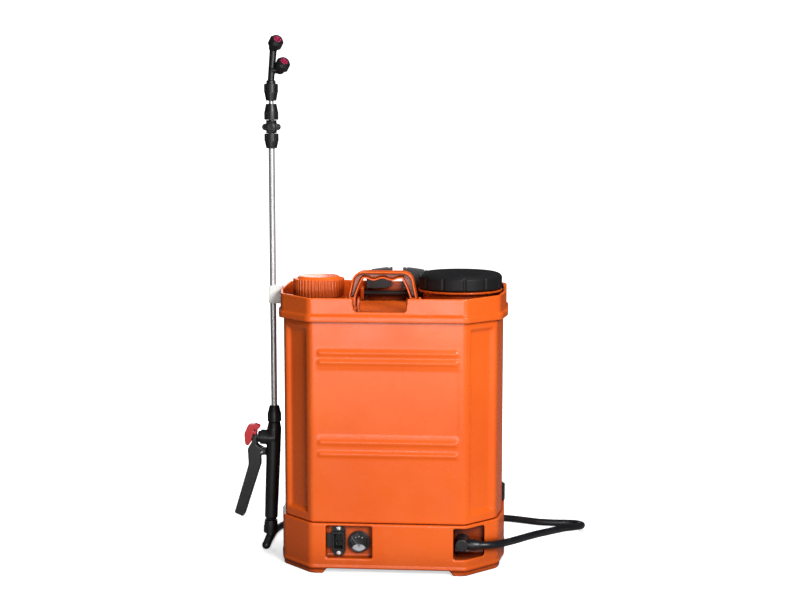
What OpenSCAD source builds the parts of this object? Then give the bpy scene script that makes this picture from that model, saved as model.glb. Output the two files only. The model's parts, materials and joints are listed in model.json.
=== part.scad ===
// Knapsack sprayer: a moulded tank on a base that holds a battery and a pump,
// with a telescopic lance clipped to its left side and a hose from base to lance.
// The origin is on the floor under the middle of the tank. +X is right seen from
// the front, +Y points at the wearer's back and +Z is up. Sizes in millimetres.

/* [Tank] */
// Width of the tank over its side walls
tank_w = 354; // [350:1:356]
// Depth of the tank from front panel to back corners
tank_d = 210; // [208:1:212]
// Width of the flat front panel
front_w = 242; // [238:1:246]
// Height of the tank's top deck above the floor
deck_z = 413; // [413:1:415]
// Height of the base's top edge above the floor
base_top = 81; // [80:1:82]
// Thickness of the moulded walls
wall = 3; // [2.5:0.1:3]

/* [Collar] */
// Height of the collar's rim at the front
rim_z = 438; // [436:1:440]
// How far the belt stands out from the tank's wall
belt_proud = 8; // [7:0.5:9]
// Thickness of the collar's wall
collar_t = 5; // [4.5:0.5:5.5]

/* [Caps] */
// Outer radius of the large filler cap
filler_r = 67; // [65:1:67]
// Outer radius of the small ribbed cap
aux_r = 41; // [40:0.5:42]

/* [Carry handle] */
// Width of the handle over its feet
handle_w = 108; // [106:1:110]
// Height of the grip's top above the hinge pins
handle_h = 48; // [47:1:50]
// Depth of the handle, front to back
handle_d = 28; // [26:1:30]

/* [Lance] */
// Distance of the lance's tube from the middle of the tank
lance_x = 198; // [197:0.5:199]
// Lean of the pistol grip away from the tube's axis, in degrees
grip_lean = 2.5; // [2.5:0.1:2.6]
// Outer radius of the outer tube
tube_r = 5; // [5:0.1:5]
// Outer radius of the sliding inner tube
inner_r = 4; // [4:0.1:4]

/* [Hose] */
// Outer radius of the hose
hose_r = 5.9; // [5.8:0.1:5.9]

/* [Hidden] */
$fn = 64;

orange = [0.93, 0.36, 0.10];
black = [0.10, 0.10, 0.11];
grey = [0.45, 0.46, 0.48];
steel = [0.75, 0.76, 0.78];

half_w = tank_w / 2;
half_d = tank_d / 2;
half_f = front_w / 2;
chamfer = 48;
corner_cut = 23;
side_bend_y = -10;
base_proud = 4;
base_bottom = 8;
back_r = 420;
back_dip = 16;
eps = 0.5;

// Plan of the tank, counter-clockwise seen from above, front side first.
plan = [
  [-half_f, -half_d], [half_f, -half_d],
  [half_f + chamfer, -half_d + chamfer], [half_w, side_bend_y],
  [half_w, half_d - corner_cut], [half_w - corner_cut, half_d],
  [-half_w + corner_cut, half_d], [-half_w, half_d - corner_cut],
  [-half_w, side_bend_y], [-half_f - chamfer, -half_d + chamfer]
];
plan_radii = [9, 9, 16, 30, 14, 14, 14, 14, 30, 16];

function unit(v) = v / norm(v);
function inward(a, b) = unit([a.y - b.y, b.x - a.x]);

// A closed outline moved inward by d, its corners kept sharp.
function inset(pts, d) = [
  for (i = [0 : len(pts) - 1])
    let (
      n = len(pts),
      n1 = inward(pts[(i + n - 1) % n], pts[i]),
      n2 = inward(pts[i], pts[(i + 1) % n])
    )
    pts[i] + d * (n1 + n2) / (1 + n1 * n2)
];

// A closed convex or concave outline with each corner turned into an arc.
function rounded(pts, radii, steps = 4) = [
  for (i = [0 : len(pts) - 1])
    let (
      n = len(pts),
      p = pts[i],
      u = unit(pts[(i + n - 1) % n] - p),
      v = unit(pts[(i + 1) % n] - p),
      half = acos(max(-1, min(1, u * v))) / 2,
      centre = p + unit(u + v) * radii[i] / sin(half),
      a = p + u * radii[i] / tan(half) - centre,
      b = p + v * radii[i] / tan(half) - centre,
      turn = 180 - 2 * half,
      sense = (a.x * b.y - a.y * b.x) > 0 ? 1 : -1
    )
    for (k = [0 : steps])
      let (w = sense * turn * k / steps)
      centre + [a.x * cos(w) - a.y * sin(w), a.x * sin(w) + a.y * cos(w)]
];

// A band of even thickness t along an open path.
function band(path, t) =
  let (
    n = len(path),
    normals = [
      for (i = [0 : n - 1])
        let (
          n1 = inward(path[max(0, i - 1)], path[max(1, i)]),
          n2 = inward(path[min(n - 2, i)], path[min(n - 1, i + 1)])
        )
        (n1 + n2) / (1 + n1 * n2)
    ]
  )
  concat(
    [for (i = [0 : n - 1]) path[i] - normals[i] * t / 2],
    [for (i = [n - 1 : -1 : 0]) path[i] + normals[i] * t / 2]
  );

// Points of an arc about c from angle a0 to angle a1.
function arc(c, r, a0, a1, steps = 6) = [
  for (k = [0 : steps])
    let (w = a0 + (a1 - a0) * k / steps)
    c + r * [cos(w), sin(w)]
];

// The tank's plan raised from z0 to z1 and grown outward by g.
module body_block(z0, z1, g = 0) {
  difference() {
    translate([0, 0, z0])
      linear_extrude(z1 - z0)
        polygon(rounded(inset(plan, -g), [for (r = plan_radii) max(2, r + g)]));
    translate([0, half_d - back_dip + back_r, z0 - eps])
      cylinder(r = back_r - g, h = z1 - z0 + 2 * eps, $fn = 180);
  }
}

// A child on each front chamfer, in a frame whose +Y points into the tank.
module on_chamfers() {
  for (s = [-1, 1])
    translate([s * (half_f + chamfer / 2), -half_d + chamfer / 2, 0])
      rotate([0, 0, s * 45])
        translate([s * 2, 0, 0])
          mirror([s < 0 ? 1 : 0, 0, 0])
            children();
}

// A cylinder along X or along Y that starts at p.
module rod_x(p, r, h) {
  translate(p) rotate([0, 90, 0]) cylinder(r = r, h = h);
}

module rod_y(p, r, h) {
  translate(p) rotate([-90, 0, 0]) cylinder(r = r, h = h);
}

// A box given by its lowest and highest corners.
module box(lo, hi) {
  translate(lo) cube(hi - lo);
}

// ---- Tank ----

panel_z0 = 94;
panel_z1 = 390;
panel_w = 52;
panel_depth = 5;
panel_bevel = 6;
rib_half_w = 108;
rib_r = 6;
rib_sink = 4;
rib_zs = [191, 210, 337, 352];
front_panel_z0 = 219;
front_panel_z1 = 328;
front_panel_depth = 0.8;

filler_at = [108, 10];
filler_neck_r = 60;
filler_bore_r = 52;
filler_neck_top = 462;
aux_at = [-118, -20];
aux_neck_r = 33;
aux_bore_r = 28;
aux_neck_top = 455;

handle_x = -9;
hinge_y = -80;
hinge_z = 430;
hinge_pin_r = 2.5;
handle_foot_w = 12;
lug_gap = 0.5;
lug_t = 5;
lug_r = 8;

outlet_at = [60, -48];
outlet_hole_r = 9;

module panel_recess() {
  hull() {
    translate([-panel_w / 2, -1, panel_z0])
      cube([panel_w, 1, panel_z1 - panel_z0]);
    translate([-panel_w / 2 + 2, -1, panel_z0 + panel_bevel])
      cube([
        panel_w - 2 - panel_bevel, panel_depth + 1,
        panel_z1 - panel_z0 - 2 * panel_bevel
      ]);
  }
}

module hinge_lugs() {
  for (s = [-1, 1])
    for (inner = [0, 1]) {
      x = handle_x + s * (handle_w / 2 - handle_foot_w * inner
        + (inner == 1 ? -lug_gap - lug_t / 2 : lug_gap + lug_t / 2));
      translate([x - lug_t / 2, hinge_y - lug_r, deck_z - 1])
        cube([lug_t, 2 * lug_r, hinge_z - deck_z + 1]);
      rod_x([x - lug_t / 2, hinge_y, hinge_z], lug_r, lug_t);
    }
}

module pin_holes(r) {
  for (s = [-1, 1])
    rod_x([
      handle_x + s * (handle_w / 2 - handle_foot_w / 2) - 12, hinge_y, hinge_z
    ], r, 24);
}

module neck(at, r, top) {
  translate([at.x, at.y, deck_z - wall]) cylinder(r = r, h = top - deck_z + wall);
}

module tank_body() {
  color(orange) difference() {
    union() {
      difference() {
        body_block(base_top, deck_z);
        difference() {
          body_block(base_top + wall, deck_z - wall, -wall);
          on_chamfers()
            box(
              [-panel_w / 2 - wall, -1, panel_z0 - wall],
              [panel_w / 2 + wall, panel_depth + wall, panel_z1 + wall]
            );
        }
        on_chamfers() panel_recess();
        box(
          [-rib_half_w - 3, -half_d - 1, front_panel_z0],
          [rib_half_w + 3, -half_d + front_panel_depth, front_panel_z1]
        );
      }
      for (z = rib_zs)
        rod_x([-rib_half_w, -half_d + rib_sink, z], rib_r, 2 * rib_half_w);
      neck(filler_at, filler_neck_r, filler_neck_top);
      translate([filler_at.x, filler_at.y, 438])
        cylinder(r = filler_r + 1, h = 4);
      neck(aux_at, aux_neck_r, aux_neck_top);
      hinge_lugs();
    }
    translate([filler_at.x, filler_at.y, deck_z - 2 * wall])
      cylinder(r = filler_bore_r, h = 80);
    translate([aux_at.x, aux_at.y, deck_z - 2 * wall])
      cylinder(r = aux_bore_r, h = 80);
    translate([outlet_at.x, outlet_at.y, base_top - 1])
      cylinder(r = outlet_hole_r, h = wall + 2);
    pin_holes(hinge_pin_r);
  }
}

// ---- Collar round the top of the tank ----

belt_z0 = 401;
belt_z1 = 411;
rim_rise = 6;
notch_x0 = -56;
notch_x1 = 32;
notch_z = 417;
bar_y = 79;
bar_z = 425;
bar_r = 4;
bar_half = 62;
clip_z = 429;
lance_y = 15;

module notch() {
  slope = 3.5;
  translate([0, -half_d + 12, 0])
    rotate([90, 0, 0])
      linear_extrude(40)
        polygon(rounded([
          [notch_x0 + slope, notch_z], [notch_x1 - slope, notch_z],
          [notch_x1 + 1, rim_z + 12], [notch_x0 - 1, rim_z + 12]
        ], [4, 4, 1, 1]));
}

module top_collar() {
  color(orange) difference() {
    union() {
      body_block(belt_z0, belt_z1, belt_proud);
      difference() {
        body_block(belt_z1 - 1, rim_z + 12, collar_t);
        translate([-300, -half_d, rim_z])
          rotate([atan(rim_rise / tank_d), 0, 0])
            translate([0, -60, 0])
              cube([600, 400, 40]);
      }
    }
    body_block(belt_z0 - 1, belt_z1 - 1);
    body_block(belt_z1 - 2, rim_z + 13);
    notch();
    rod_x([-half_w - collar_t - 1, lance_y, clip_z], 1.5, 2 + collar_t);
  }
  color(orange)
    for (s = [-1, 1])
      difference() {
        box([s * 58 - 3, bar_y - 9, deck_z], [s * 58 + 3, bar_y + 16, bar_z + 8]);
        rod_x([s * 58 - 4, bar_y, bar_z], bar_r, 8);
      }
}

// ---- Base ----

ctrl_x0 = -98;
ctrl_x1 = -25;
ctrl_z0 = 25;
ctrl_z1 = 77;
ctrl_depth = 14;
ctrl_floor = -half_d - base_proud + ctrl_depth;
port_x0 = 103;
port_x1 = 151;
port_z0 = 26;
port_z1 = 76;
port_floor = -66;
outlet_y = -90;
outlet_x = 116;
outlet_z = 46;
post_r = 5;
screw_r = 1.6;
posts = [[-142, -22], [142, -22], [-142, 38], [142, 38]];
socket_x = -78.5;
socket_z = 51;
socket_screw_z = 20;
gauge_at = [-46.5, 49];
gauge_r = 14;
switch_y = 40;
switch_z = 50;
switch_r = 10;

module foot(s, y0, y1) {
  intersection() {
    body_block(0, base_bottom + 1, base_proud - 1);
    translate([0, y1, 0])
      rotate([90, 0, 0])
        linear_extrude(y1 - y0)
          polygon([
            [s * 95, base_bottom + 2], [s * 104, -1],
            [s * 220, -1], [s * 220, base_bottom + 2]
          ]);
  }
}

module base_shell() {
  color(orange) difference() {
    union() {
      difference() {
        union() {
          body_block(base_bottom, base_top, base_proud);
          body_block(base_bottom, base_bottom + 4, base_proud + 1);
        }
        body_block(base_bottom - 1, base_top - wall - 1, base_proud - wall);
      }
      intersection() {
        body_block(base_bottom + 6, base_top, base_proud);
        union() {
          box(
            [ctrl_x0 - wall, -half_d - 8, ctrl_z0 - wall],
            [ctrl_x1 + wall, ctrl_floor + wall, ctrl_z1 + wall]
          );
          box(
            [port_x0 - wall, -half_d - 8, port_z0 - wall],
            [port_x1 + wall, port_floor + wall, port_z1 + wall]
          );
        }
      }
      for (p = posts)
        translate([p.x, p.y, base_bottom + wall])
          cylinder(r = post_r, h = base_top - base_bottom - wall - 2);
      for (s = [-1, 1]) {
        foot(s, -half_d - 10, -38);
        foot(s, 48, half_d + 10);
      }
    }
    box([ctrl_x0, -half_d - 20, ctrl_z0], [ctrl_x1, ctrl_floor, ctrl_z1]);
    box([port_x0, -half_d - 20, port_z0], [port_x1, port_floor, port_z1]);
    for (p = posts)
      translate([p.x, p.y, base_bottom]) cylinder(r = screw_r, h = 16);
    translate([outlet_at.x, outlet_at.y, base_top - 6])
      cylinder(r = 13, h = 8);
    rod_y([outlet_x, port_floor - 1, outlet_z], 6, wall + 2);
    rod_y([gauge_at.x, ctrl_floor - 1, gauge_at.y], gauge_r, wall + 2);
    box(
      [socket_x - 9, ctrl_floor - 1, socket_z - 15],
      [socket_x + 9, ctrl_floor + wall + 1, socket_z + 15]
    );
    for (s = [-1, 1])
      rod_y([socket_x, ctrl_floor - 1, socket_z + s * socket_screw_z], 2, wall + 2);
    rod_x([-half_w - base_proud - 2, switch_y, switch_z], switch_r, wall + 4);
  }
}

// Bottom plate; the pad in its middle shares the floor with the feet.
module base_plate() {
  color(black) difference() {
    union() {
      body_block(base_bottom, base_bottom + wall, base_proud - wall - 0.4);
      linear_extrude(base_bottom + 1)
        polygon(rounded([[-45, -25], [45, -25], [45, 25], [-45, 25]], [8, 8, 8, 8]));
    }
    for (s = [-1, 1]) {
      foot(s, -half_d - 10, -38);
      foot(s, 48, half_d + 10);
    }
    for (p = posts)
      translate([p.x, p.y, base_bottom - 1]) cylinder(r = screw_r, h = 6);
  }
}

module base_screws() {
  color(steel)
    for (p = posts)
      translate([p.x, p.y, 0]) {
        translate([0, 0, base_bottom]) cylinder(r = screw_r, h = 14);
        translate([0, 0, base_bottom - 2.5]) cylinder(r = 4, h = 2.5);
      }
}

// ---- Caps and what sits in the necks ----

module filler_strainer() {
  rim_top = filler_neck_top - 2;
  cup_r = 49;
  cup_bottom = 372;
  color(black) translate([filler_at.x, filler_at.y, 0]) difference() {
    union() {
      translate([0, 0, rim_top - 4]) cylinder(r = filler_bore_r, h = 4);
      translate([0, 0, cup_bottom]) cylinder(r = cup_r, h = rim_top - cup_bottom - 2);
    }
    translate([0, 0, cup_bottom + 2]) cylinder(r = cup_r - 2, h = 100);
    for (a = [0 : 45 : 315])
      rotate([0, 0, a])
        translate([cup_r - 5, -13, cup_bottom + 8])
          cube([10, 26, 26]);
  }
}

module filler_gasket() {
  color(black) translate([filler_at.x, filler_at.y, filler_neck_top])
    difference() {
      cylinder(r = filler_neck_r, h = 2.7);
      translate([0, 0, -1]) cylinder(r = filler_bore_r, h = 5);
    }
}

vent_at = [-3, -46];

module filler_cap() {
  top = 469;
  z0 = 444;
  color(black) translate([filler_at.x, filler_at.y, 0]) difference() {
    rotate_extrude()
      polygon([
        [0, z0], [filler_r, z0], [filler_r, top - 7], [filler_r - 3, top - 3],
        [filler_r - 8, top - 1], [0, top]
      ]);
    translate([0, 0, z0 - 1]) cylinder(r = filler_neck_r + 1, h = filler_neck_top + 3.7 - z0);
    for (a = [0 : 30 : 330])
      rotate([0, 0, a + 8])
        translate([filler_r + 1.2, 0, z0 - 1])
          cylinder(r = 3, h = 30);
    translate([vent_at.x, vent_at.y, z0]) cylinder(r = 3, h = 40);
  }
}

module vent_valve() {
  color(black) translate([filler_at.x + vent_at.x, filler_at.y + vent_at.y, 0])
    difference() {
      translate([0, 0, 464.8]) cylinder(r = 3, h = 3.2);
      translate([0, 0, 464]) cylinder(r = 1, h = 6);
    }
}

module aux_gasket() {
  color(black) translate([aux_at.x, aux_at.y, aux_neck_top])
    difference() {
      cylinder(r = aux_neck_r, h = 2.5);
      translate([0, 0, -1]) cylinder(r = aux_bore_r, h = 5);
    }
}

module aux_cap() {
  top = 464;
  z0 = 430;
  ribs = 44;
  core = aux_r - 1.4;
  color(orange) translate([aux_at.x, aux_at.y, 0]) difference() {
    union() {
      rotate_extrude()
        polygon([
          [0, z0], [core, z0], [core, top - 5], [core - 3, top - 4],
          [core - 6, top - 3], [core - 8, top], [0, top]
        ]);
      translate([0, 0, z0 + 2])
        linear_extrude(top - 6 - z0)
          polygon([
            for (k = [0 : ribs - 1])
              for (step = [0, 0.3, 0.5, 0.8])
                let (w = 360 / ribs * (k + step), r = step < 0.4 ? aux_r : core)
                r * [cos(w), sin(w)]
          ]);
    }
    translate([0, 0, z0 - 1]) cylinder(r = aux_neck_r + 1, h = aux_neck_top + 3.5 - z0);
  }
}

// ---- Carry handle ----

wave = 1.8;
handle_t = 12;
inner_half = handle_w / 2 - handle_foot_w;

// Outer outline of the arch, about the middle of its hinge line.
arch_outer = rounded([
  [-handle_w / 2, -lug_r], [handle_w / 2, -lug_r], [handle_w / 2, 4],
  [handle_w / 2 - 9, handle_h], [-handle_w / 2 + 9, handle_h], [-handle_w / 2, 4]
], [6, 6, 8, 17, 17, 8]);

// Opening under the arch, with three finger waves along its top.
arch_inner = concat(
  [[-inner_half, -20], [inner_half, -20], [inner_half, 10], [inner_half - 6, handle_h - 22],
   [inner_half - 9, handle_h - 16]],
  [for (x = [inner_half - 12 : -2 : -inner_half + 12])
    [x, handle_h - handle_t + wave * cos(x * 360 * 3 / (2 * inner_half))]],
  [[-inner_half + 9, handle_h - 16], [-inner_half + 6, handle_h - 22], [-inner_half, 10]]
);

module handle_profile(d) {
  difference() {
    polygon(inset(arch_outer, d));
    polygon(inset(arch_inner, -d));
  }
}

module carry_handle() {
  flange = 2.6;
  pocket = 10;
  color(orange) translate([handle_x, hinge_y, hinge_z]) difference() {
    rotate([90, 0, 0])
      translate([0, 0, -handle_d / 2])
        linear_extrude(handle_d) handle_profile(0);
    for (s = [-1, 1])
      translate([0, s * (handle_d / 2 - pocket / 2 + 0.5), 0])
        rotate([90, 0, 0])
          translate([0, 0, -pocket / 2 - 0.5])
            linear_extrude(pocket + 1)
              intersection() {
                handle_profile(flange);
                translate([-80, lug_r]) square([160, 80]);
              }
    for (s = [-1, 1])
      rod_x([s * (handle_w / 2 - handle_foot_w / 2) - 10, 0, 0], hinge_pin_r + 0.05, 20);
  }
}

module handle_pins() {
  half_len = handle_foot_w / 2 + lug_gap + lug_t;
  color(steel)
    for (s = [-1, 1])
      rod_x([
        handle_x + s * (handle_w / 2 - handle_foot_w / 2) - half_len, hinge_y, hinge_z
      ], hinge_pin_r, 2 * half_len);
}

// ---- Lance clip ----

module lance_clip() {
  wall_x = -half_w - collar_t;
  jaw_r = tube_r + 0.3;
  color("white") difference() {
    box([-lance_x - 5.5, lance_y - 8.5, 414.5], [wall_x, lance_y + 8.5, 443.5]);
    translate([-lance_x, lance_y, 410]) cylinder(r = jaw_r, h = 40);
    box([-lance_x - 10, lance_y - jaw_r, 410], [-lance_x, lance_y + jaw_r, 450]);
    rod_x([wall_x - 20, lance_y, clip_z], 1.5, 21);
    rod_x([-lance_x, lance_y, clip_z], 3.5, lance_x - half_w - collar_t - 8);
  }
}

module clip_screw() {
  wall_x = -half_w - collar_t;
  color(steel) {
    rod_x([wall_x - 8, lance_y, clip_z], 1.5, 8 + collar_t);
    rod_x([wall_x - 10.5, lance_y, clip_z], 3.5, 2.5);
  }
}

// ---- Controls on the base ----

module charge_socket() {
  color(black) difference() {
    union() {
      translate([socket_x, ctrl_floor, socket_z])
        rotate([90, 0, 0])
          linear_extrude(3)
            polygon(rounded([
              [-6, -25], [6, -25], [10.5, -17], [10.5, 17],
              [6, 25], [-6, 25], [-10.5, 17], [-10.5, -17]
            ], [3, 3, 4, 4, 3, 3, 4, 4]));
      box(
        [socket_x - 18.5, ctrl_floor - 4.5, socket_z - 11],
        [socket_x - 8, ctrl_floor, socket_z + 11]
      );
      box(
        [socket_x - 9, ctrl_floor - 9.5, socket_z - 15],
        [socket_x + 9, ctrl_floor + 20, socket_z + 15]
      );
    }
    box(
      [socket_x - 7, ctrl_floor - 10, socket_z - 12],
      [socket_x + 7, ctrl_floor + 10, socket_z + 12]
    );
    for (s = [-1, 1])
      rod_y([socket_x, ctrl_floor - 4, socket_z + s * socket_screw_z], 2, 6);
  }
}

module charge_pins() {
  color(steel)
    for (p = [[0, 7], [-4, -6], [4, -6]])
      box(
        [socket_x + p.x - 1, ctrl_floor, socket_z + p.y - 2.5],
        [socket_x + p.x + 1, ctrl_floor + 10, socket_z + p.y + 2.5]
      );
}

module socket_screws() {
  color(steel)
    for (s = [-1, 1]) {
      rod_y([socket_x, ctrl_floor - 3, socket_z + s * socket_screw_z], 2, 10);
      difference() {
        rod_y([socket_x, ctrl_floor - 5.5, socket_z + s * socket_screw_z], 4, 2.5);
        box(
          [socket_x - 3, ctrl_floor - 6, socket_z + s * socket_screw_z - 0.5],
          [socket_x + 3, ctrl_floor - 4.6, socket_z + s * socket_screw_z + 0.5]
        );
      }
    }
}

module gauge_case() {
  color(black) translate([gauge_at.x, 0, gauge_at.y]) {
    rod_y([0, ctrl_floor, 0], gauge_r, 20);
    difference() {
      union() {
        rod_y([0, ctrl_floor - 2.5, 0], 17.5, 2.5);
        rod_y([0, ctrl_floor - 6, 0], 16.5, 6);
      }
      rod_y([0, ctrl_floor - 7, 0], 15, 6);
    }
  }
}

module gauge_dial() {
  color("white") translate([gauge_at.x, 0, gauge_at.y])
    rod_y([0, ctrl_floor - 1.8, 0], 15, 0.8);
}

module gauge_needle() {
  color("white") translate([gauge_at.x, ctrl_floor - 3.2, gauge_at.y - 6]) {
    rod_y([0, 0, 0], 1.6, 1.2);
    rotate([0, -42, 0]) box([-0.5, 0, 0], [0.5, 0.8, 15]);
  }
}

module gauge_lens() {
  color([0.8, 0.9, 1, 0.4]) translate([gauge_at.x, 0, gauge_at.y])
    rod_y([0, ctrl_floor - 5, 0], 15, 1);
}

switch_face = -half_w - base_proud;

module power_switch() {
  color(black) difference() {
    union() {
      rod_x([switch_face, switch_y, switch_z], switch_r, 18);
      rod_x([switch_face - 2.5, switch_y, switch_z], switch_r + 2, 2.5);
    }
    box(
      [switch_face - 4, switch_y - 4.8, switch_z - 8.6],
      [switch_face + 12, switch_y + 4.8, switch_z + 8.6]
    );
  }
}

module switch_rocker() {
  color("red") translate([switch_face + 3.5, switch_y, switch_z]) difference() {
    rod_y([0, -4.5, 0], 8.4, 9);
    rotate([0, 8, 0]) box([-12, -6, -12], [-6.5, 6, 0]);
  }
}

// ---- Battery, pump and pipes inside the base ----

motor_y = -48;
head_x0 = 26;
head_x1 = 86;
head_top = 68;
plate_top = base_bottom + wall;

module battery() {
  color(grey) box([-75, -6, plate_top], [75, 84, plate_top + 62]);
}

module battery_terminals() {
  color("gold")
    for (y = [18, 60])
      box([-81, y - 3, 44], [-75, y + 3, 56]);
}

module pump_motor() {
  color(steel) {
    rod_x([-36, motor_y, outlet_z], 19, 60);
    rod_x([-42, motor_y, outlet_z], 7, 6);
    rod_x([24, motor_y, outlet_z], 9, 2);
  }
}

module pump_head() {
  color(black) difference() {
    union() {
      box([head_x0, motor_y - 25, 22], [head_x1, motor_y + 25, head_top]);
      box([head_x0 + 5, motor_y - 20, plate_top], [head_x1 - 5, motor_y + 20, 22]);
    }
    translate([outlet_at.x, outlet_at.y, head_top - 12]) cylinder(r = 5, h = 13);
    rod_x([head_x1 - 12, motor_y, outlet_z], 4, 13);
  }
}

module suction_pipe() {
  color(grey) translate([outlet_at.x, outlet_at.y, head_top - 12]) difference() {
    cylinder(r = 5, h = 18);
    translate([0, 0, -1]) cylinder(r = 3.5, h = 20);
  }
}

// Fitting through the tank's floor, with a slotted intake filter above it.
module tank_outlet() {
  color(black) translate([outlet_at.x, outlet_at.y, 0]) difference() {
    union() {
      translate([0, 0, head_top + 6]) cylinder(r = 12, h = base_top - head_top - 6);
      translate([0, 0, base_top]) cylinder(r = outlet_hole_r, h = wall);
      translate([0, 0, base_top + wall]) cylinder(r = 16, h = 4);
      translate([0, 0, base_top + wall + 4]) cylinder(r = 13, h = 20);
    }
    translate([0, 0, head_top]) cylinder(r = 5, h = 40);
    for (a = [0 : 45 : 315])
      rotate([0, 0, a])
        translate([4, -1.5, base_top + wall + 7])
          cube([12, 3, 13]);
  }
}

module delivery_pipe() {
  color(grey) difference() {
    rod_x([head_x1 - 12, motor_y, outlet_z], 4, outlet_x - 6 - head_x1 + 12);
    rod_x([head_x1 - 13, motor_y, outlet_z], 2.8, outlet_x - head_x1 + 14);
  }
}

// ---- Hose and its fittings ----

nipple_end = 134;
elbow_r = 11.5;

module outlet_elbow() {
  color(black) {
    rod_y([outlet_x, port_floor, outlet_z], 6, motor_y - port_floor - 5);
    box([outlet_x - 6, motor_y - 6, outlet_z - 6], [outlet_x + 6, motor_y + 6, outlet_z + 6]);
    rod_y([outlet_x, port_floor - 3, outlet_z], elbow_r, 3);
    difference() {
      union() {
        rod_y([outlet_x, outlet_y - 8, outlet_z], elbow_r - 1.5, port_floor - outlet_y + 5.5);
        rod_x([outlet_x, outlet_y, outlet_z], 7, nipple_end - outlet_x);
      }
      rod_x([outlet_x + 2, outlet_y, outlet_z], 3.5, 20);
    }
  }
}

module hose_nut() {
  color(black) translate([0, outlet_y, outlet_z]) difference() {
    union() {
      rod_x([outlet_x + 12, 0, 0], 9, 8);
      translate([outlet_x + 20, 0, 0]) rotate([0, 90, 0]) cylinder(r1 = 9, r2 = 7, h = 8);
    }
    rod_x([outlet_x, 0, 0], 7.05, nipple_end - outlet_x);
    rod_x([outlet_x + 10, 0, 0], hose_r + 0.3, 30);
  }
}

// Middle line of the hose: from the nipple, round its loop on the floor,
// behind the tank and up to the lance's elbow.
hose_route = [
  [134.3, -90, 46], [148, -90, 46], [162, -85, 45.5], [176, -73, 44], [190, -54, 42],
  [204, -29, 39], [219, 0, 35.5], [236, 33, 31], [254, 66, 26], [271, 98, 21], [287, 124, 17],
  [301, 141, 14], [311, 155, 12], [315.5, 170, 9.5], [312.8, 182, 8], [304, 190.8, 7],
  [292, 194.5, 6.3], [276, 195, 6], [258, 196, 6], [240, 199, 6], [222, 205.5, 6],
  [204, 212.5, 6], [184, 218.5, 6], [150, 222, 6], [100, 222, 6], [45, 221, 6], [-10, 220, 6],
  [-62, 219, 6], [-108, 216, 6], [-146, 206, 6], [-177, 187, 6], [-199, 160, 6],
  [-210, 130, 6.5], [-213.8, 100, 7.2], [-213.8, 72, 7.6], [-213.8, 50, 7.6], [-213.8, 34, 7.6]
];
hose_sides = 10;

function catmull(a, b, c, d, t) =
  0.5 * (2 * b + (c - a) * t + (2 * a - 5 * b + 4 * c - d) * t * t
    + (3 * b - a - 3 * c + d) * t * t * t);

function smooth_path(pts, n) =
  let (last = len(pts) - 1)
  concat(
    [
      for (i = [0 : last - 1])
        for (k = [0 : n - 1])
          catmull(
            i == 0 ? 2 * pts[0] - pts[1] : pts[i - 1], pts[i], pts[i + 1],
            i == last - 1 ? 2 * pts[last] - pts[last - 1] : pts[i + 2], k / n
          )
    ],
    [pts[last]]
  );

module swept_tube(path, r, sides) {
  n = len(path);
  points = [
    for (i = [0 : n - 1])
      let (
        t = unit(path[min(n - 1, i + 1)] - path[max(0, i - 1)]),
        side = unit(cross(t, [0, 0, 1])),
        up = cross(side, t)
      )
      for (k = [0 : sides - 1])
        path[i] + r * (cos(k * 360 / sides) * side + sin(k * 360 / sides) * up)
  ];
  faces = concat(
    [[for (k = [0 : sides - 1]) k]],
    [[for (k = [0 : sides - 1]) n * sides - 1 - k]],
    [
      for (i = [0 : n - 2])
        for (k = [0 : sides - 1])
          let (m = (k + 1) % sides)
          [i * sides + m, i * sides + k, (i + 1) * sides + k, (i + 1) * sides + m]
    ]
  );
  polyhedron(points, faces, convexity = 10);
}

module hose() {
  color(black) swept_tube(smooth_path(hose_route, 2), hose_r, hose_sides);
}

// ---- Carrying harness ----

strap_x = 30;
pad_w = 44;
pad_t = 8;
pad_y = 106;
pad_bottom = 128;
pad_top = 454.5;
web_w = 22;
web_t = 1.8;
web_y = 112.4;
lug_x = half_w;
lug_y0 = 56;
lug_y1 = 76;
lug_z = 94;

module strap_bar() {
  color(steel) rod_x([-bar_half, bar_y, bar_z], bar_r, 2 * bar_half);
}

// Pad from the bar, over the collar's rear rim and down the tank's back.
module shoulder_pad(s) {
  path = concat(
    arc([bar_y + 12.5, pad_top], 12, 175, 90),
    arc([pad_y - 12, pad_top], 12, 78, 5),
    [[pad_y, 430], [pad_y, 380], [pad_y + 3, 250], [pad_y + 1, pad_bottom]]
  );
  color(black) translate([s * strap_x - pad_w / 2, 0, 0])
    rotate([90, 0, 90])
      linear_extrude(pad_w)
        polygon(band(concat([[bar_y, bar_z + 9]], path), pad_t));
}

module shoulder_pad_left() { shoulder_pad(-1); }
module shoulder_pad_right() { shoulder_pad(1); }

module strap_webbing() {
  corner = half_d + base_proud;
  color(grey) for (s = [-1, 1]) {
    mirror([s < 0 ? 1 : 0, 0, 0]) {
      translate([0, web_y + web_t / 2, 0])
        rotate([90, 0, 0])
          linear_extrude(web_t)
            polygon([
              [strap_x - web_w / 2, 105], [strap_x, 99], [140, lug_z - web_w / 2],
              [150, lug_z - web_w / 2], [150, lug_z + web_w / 2],
              [strap_x + web_w / 2, 122]
            ]);
      translate([0, 0, lug_z - web_w / 2])
        linear_extrude(web_w)
          polygon(band([
            [149, web_y], [lug_x - 20, corner + 2.6], [lug_x + 3, half_d - 20],
            [lug_x + 3, lug_y1]
          ], web_t));
    }
  }
}

module strap_buckles() {
  color(black) for (s = [-1, 1])
    difference() {
      box(
        [s * strap_x - 19, web_y - web_t / 2 - 4.2, pad_bottom - 26],
        [s * strap_x + 19, web_y - web_t / 2, pad_bottom - 1]
      );
      for (z = [pad_bottom - 22, pad_bottom - 11])
        box(
          [s * strap_x - 15, web_y - 8, z],
          [s * strap_x + 15, web_y + 2, z + 5]
        );
    }
}

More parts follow.
